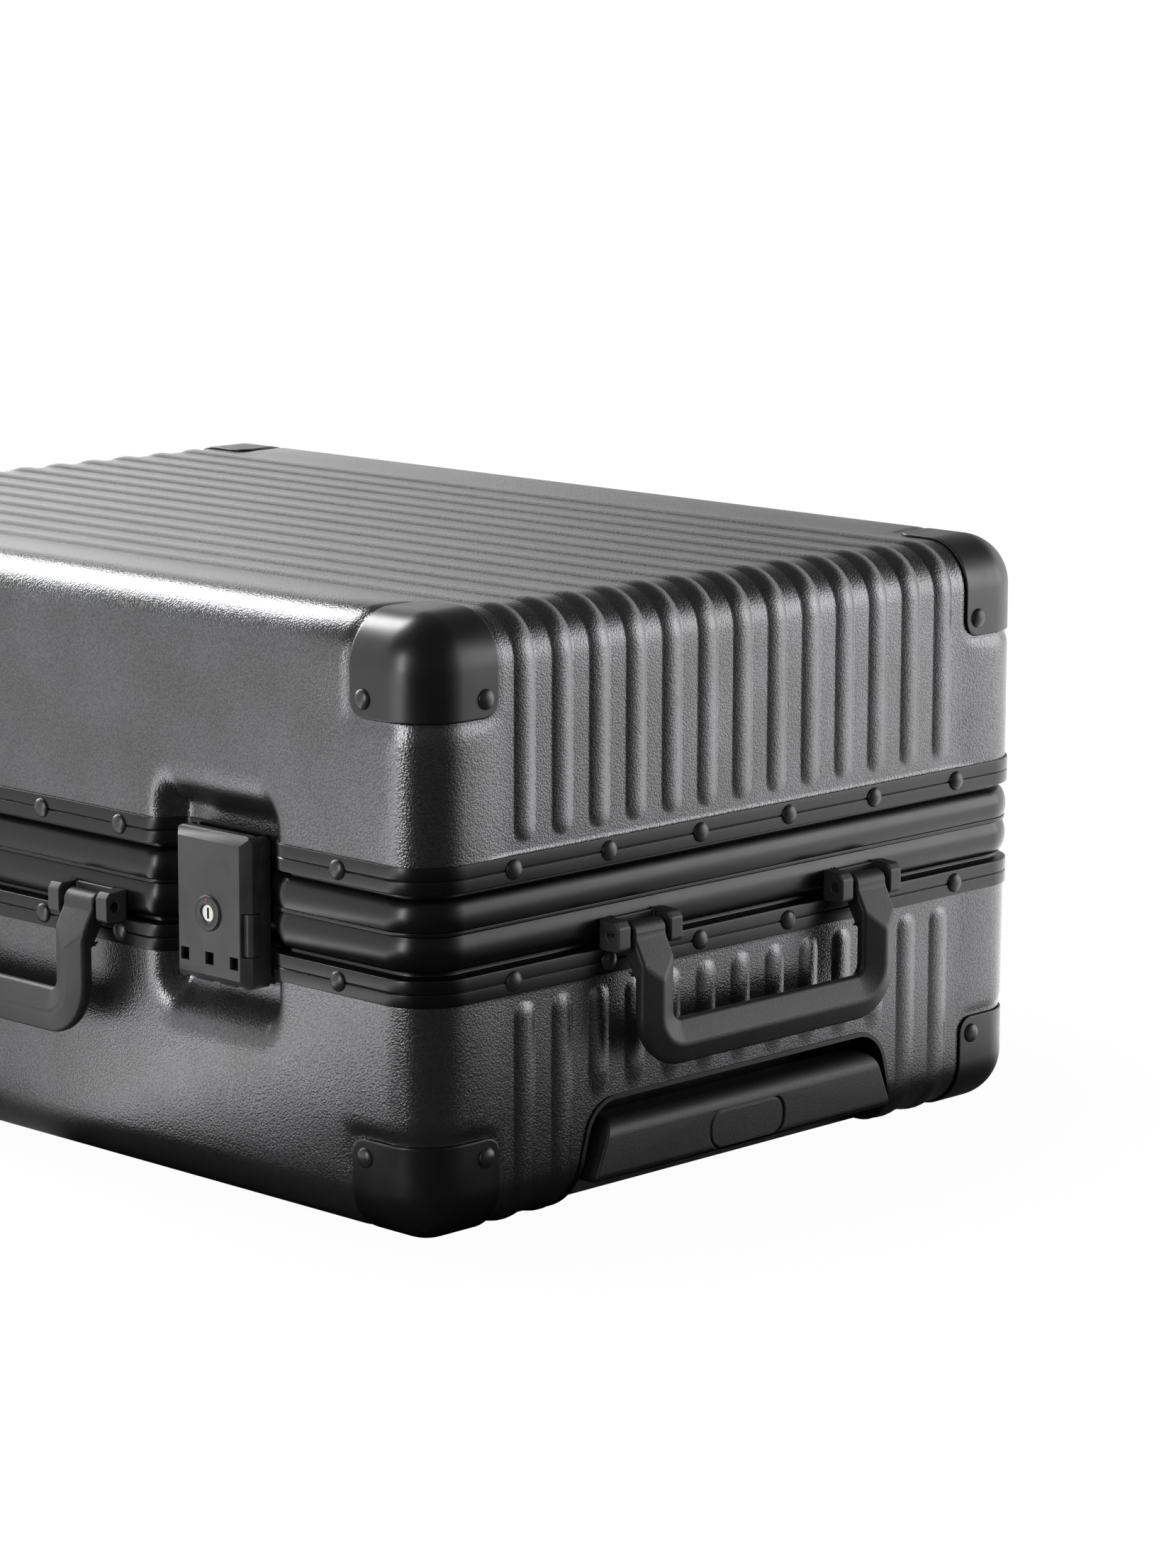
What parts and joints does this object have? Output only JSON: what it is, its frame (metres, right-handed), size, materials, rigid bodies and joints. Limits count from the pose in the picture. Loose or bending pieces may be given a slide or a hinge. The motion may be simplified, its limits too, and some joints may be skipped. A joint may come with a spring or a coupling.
{
  "type": "hard shell suitcase",
  "caption": "Hard shell suitcase with a riveted frame, two latch locks with dials, folding handles, a telescopic trolley bar and twin wheel casters",
  "frame": {"origin": "centre of the flat back face, on which the case lies", "axes": "+X towards the handle and trolley end, -X towards the wheels, -Y towards the locks, +Y towards the hinges, +Z from the back shell to the front shell"},
  "size_m": [0.5868, 0.3947, 0.252],
  "materials": {
    "shell": "pebbled dark charcoal, satin",
    "frame": "satin black",
    "guard": "smooth satin black",
    "rivet": "satin black, domed",
    "seal": "matt black",
    "moulding": "smooth near black",
    "tube": "anodised",
    "grip": "fine grain, charcoal",
    "steel": "plain",
    "lock": "fine textured charcoal",
    "core": "satin silver",
    "dial": "black with light marks",
    "lining": "dark grey weave",
    "webbing": "black webbing",
    "wheel": "dark grey",
    "tyre": "matt black"
  },
  "bodies": {
    "base": {"back_shell": "shell", "back_frame": "frame", "back_rivets": "rivet", "back_corner_guards": "guard", "frame_gasket": "seal", "trolley_cup": "moulding", "trolley_outer_tubes": "tube", "trolley_foot": "moulding", "handle_brackets": "moulding", "handle_pins": "steel", "back_hinge_leaves": "frame", "hinge_pins": "steel", "lock_strikes": "steel", "back_lining": "lining", "packing_straps": "webbing", "strap_buckles": "moulding", "back_caster_housings": "moulding"},
    "lid": {"front_shell": "shell", "front_frame": "frame", "front_rivets": "rivet", "front_corner_guards": "guard", "front_hinge_leaves": "frame", "lock_bases": "frame", "lock_pins": "steel", "front_lining": "lining", "front_pocket": "lining", "front_caster_housings": "moulding"},
    "trolley_stage": {"trolley_middle_tubes": "tube"},
    "trolley_bar": {"trolley_inner_tubes": "tube", "trolley_grip": "grip"},
    "trolley_button": {"trolley_button": "grip"},
    "carry_handle": {"carry_handle": "grip"},
    "side_handle": {"side_handle": "grip"},
    "right_lock": {"right_lock_cover": "lock", "right_dial_shaft": "steel"},
    "right_key": {"right_lock_key_cylinder": "core"},
    "right_release": {"right_lock_release": "grip"},
    "right_dial_1": {"right_lock_dial_1": "dial"},
    "right_dial_2": {"right_lock_dial_2": "dial"},
    "right_dial_3": {"right_lock_dial_3": "dial"},
    "left_lock": {"left_lock_cover": "lock", "left_dial_shaft": "steel"},
    "left_key": {"left_lock_key_cylinder": "core"},
    "left_release": {"left_lock_release": "grip"},
    "left_dial_1": {"left_lock_dial_1": "dial"},
    "left_dial_2": {"left_lock_dial_2": "dial"},
    "left_dial_3": {"left_lock_dial_3": "dial"},
    "back_left_caster": {"back_left_fork": "wheel"},
    "back_left_wheel": {"back_left_wheels": "wheel", "back_left_tyres": "tyre"},
    "back_right_caster": {"back_right_fork": "wheel"},
    "back_right_wheel": {"back_right_wheels": "wheel", "back_right_tyres": "tyre"},
    "front_left_caster": {"front_left_fork": "wheel"},
    "front_left_wheel": {"front_left_wheels": "wheel", "front_left_tyres": "tyre"},
    "front_right_caster": {"front_right_fork": "wheel"},
    "front_right_wheel": {"front_right_wheels": "wheel", "front_right_tyres": "tyre"}
  },
  "joints": [
    {"name": "lid_turn", "type": "hinge", "parent": "base", "child": "lid", "pos_m": [0, 0.1882, 0.126], "axis": [-1, 0, 0], "range_deg": [0, 180]},
    {"name": "carry_handle_turn", "type": "hinge", "parent": "base", "child": "carry_handle", "pos_m": [0.2622, 0, 0.115], "axis": [0, -1, 0], "range_deg": [0, 90]},
    {"name": "side_handle_turn", "type": "hinge", "parent": "base", "child": "side_handle", "pos_m": [0, -0.1902, 0.115], "axis": [-1, 0, 0], "range_deg": [0, 90]},
    {"name": "trolley_stage_slide", "type": "slide", "parent": "base", "child": "trolley_stage", "axis": [1, 0, 0], "range_m": [0, 0.24]},
    {"name": "trolley_bar_slide", "type": "slide", "parent": "trolley_stage", "child": "trolley_bar", "axis": [1, 0, 0], "range_m": [0, 0.24]},
    {"name": "trolley_button_press", "type": "slide", "parent": "trolley_bar", "child": "trolley_button", "axis": [-1, 0, 0], "range_m": [0, 0.003], "stiffness_N_per_m": 600},
    {"name": "right_lock_turn", "type": "hinge", "parent": "lid", "child": "right_lock", "pos_m": [0.133, -0.178, 0.1488], "axis": [-1, 0, 0], "range_deg": [0, 75]},
    {"name": "right_key_turn", "type": "hinge", "parent": "right_lock", "child": "right_key", "pos_m": [0.133, -0.183, 0.1202], "axis": [0, -1, 0], "range_deg": [0, 90]},
    {"name": "right_release_slide", "type": "slide", "parent": "right_lock", "child": "right_release", "axis": [-1, 0, 0], "range_m": [0, 0.002], "stiffness_N_per_m": 400},
    {"name": "right_dial_1_turn", "type": "hinge", "parent": "right_lock", "child": "right_dial_1", "pos_m": [0.1181, -0.1782, 0.0957], "axis": [1, 0, 0], "continuous": true},
    {"name": "right_dial_2_turn", "type": "hinge", "parent": "right_lock", "child": "right_dial_2", "pos_m": [0.133, -0.1782, 0.0957], "axis": [1, 0, 0], "continuous": true},
    {"name": "right_dial_3_turn", "type": "hinge", "parent": "right_lock", "child": "right_dial_3", "pos_m": [0.1479, -0.1782, 0.0957], "axis": [1, 0, 0], "continuous": true},
    {"name": "left_lock_turn", "type": "hinge", "parent": "lid", "child": "left_lock", "pos_m": [-0.133, -0.178, 0.1488], "axis": [-1, 0, 0], "range_deg": [0, 75]},
    {"name": "left_key_turn", "type": "hinge", "parent": "left_lock", "child": "left_key", "pos_m": [-0.133, -0.183, 0.1202], "axis": [0, 1, 0], "range_deg": [0, 90]},
    {"name": "left_release_slide", "type": "slide", "parent": "left_lock", "child": "left_release", "axis": [1, 0, 0], "range_m": [0, 0.002], "stiffness_N_per_m": 400},
    {"name": "left_dial_1_turn", "type": "hinge", "parent": "left_lock", "child": "left_dial_1", "pos_m": [-0.1181, -0.1782, 0.0957], "axis": [1, 0, 0], "continuous": true},
    {"name": "left_dial_2_turn", "type": "hinge", "parent": "left_lock", "child": "left_dial_2", "pos_m": [-0.133, -0.1782, 0.0957], "axis": [1, 0, 0], "continuous": true},
    {"name": "left_dial_3_turn", "type": "hinge", "parent": "left_lock", "child": "left_dial_3", "pos_m": [-0.1479, -0.1782, 0.0957], "axis": [1, 0, 0], "continuous": true},
    {"name": "back_left_swivel", "type": "hinge", "parent": "base", "child": "back_left_caster", "pos_m": [-0.26, 0.135, 0.044], "axis": [1, 0, 0], "continuous": true},
    {"name": "back_left_roll", "type": "hinge", "parent": "back_left_caster", "child": "back_left_wheel", "pos_m": [-0.2893, 0.135, 0.032], "axis": [0, 1, 0], "continuous": true},
    {"name": "back_right_swivel", "type": "hinge", "parent": "base", "child": "back_right_caster", "pos_m": [-0.26, -0.135, 0.044], "axis": [1, 0, 0], "continuous": true},
    {"name": "back_right_roll", "type": "hinge", "parent": "back_right_caster", "child": "back_right_wheel", "pos_m": [-0.2893, -0.135, 0.032], "axis": [0, 1, 0], "continuous": true},
    {"name": "front_left_swivel", "type": "hinge", "parent": "lid", "child": "front_left_caster", "pos_m": [-0.26, 0.135, 0.208], "axis": [1, 0, 0], "continuous": true},
    {"name": "front_left_roll", "type": "hinge", "parent": "front_left_caster", "child": "front_left_wheel", "pos_m": [-0.2893, 0.135, 0.196], "axis": [0, 1, 0], "continuous": true},
    {"name": "front_right_swivel", "type": "hinge", "parent": "lid", "child": "front_right_caster", "pos_m": [-0.26, -0.135, 0.208], "axis": [1, 0, 0], "continuous": true},
    {"name": "front_right_roll", "type": "hinge", "parent": "front_right_caster", "child": "front_right_wheel", "pos_m": [-0.2893, -0.135, 0.196], "axis": [0, 1, 0], "continuous": true}
  ]
}
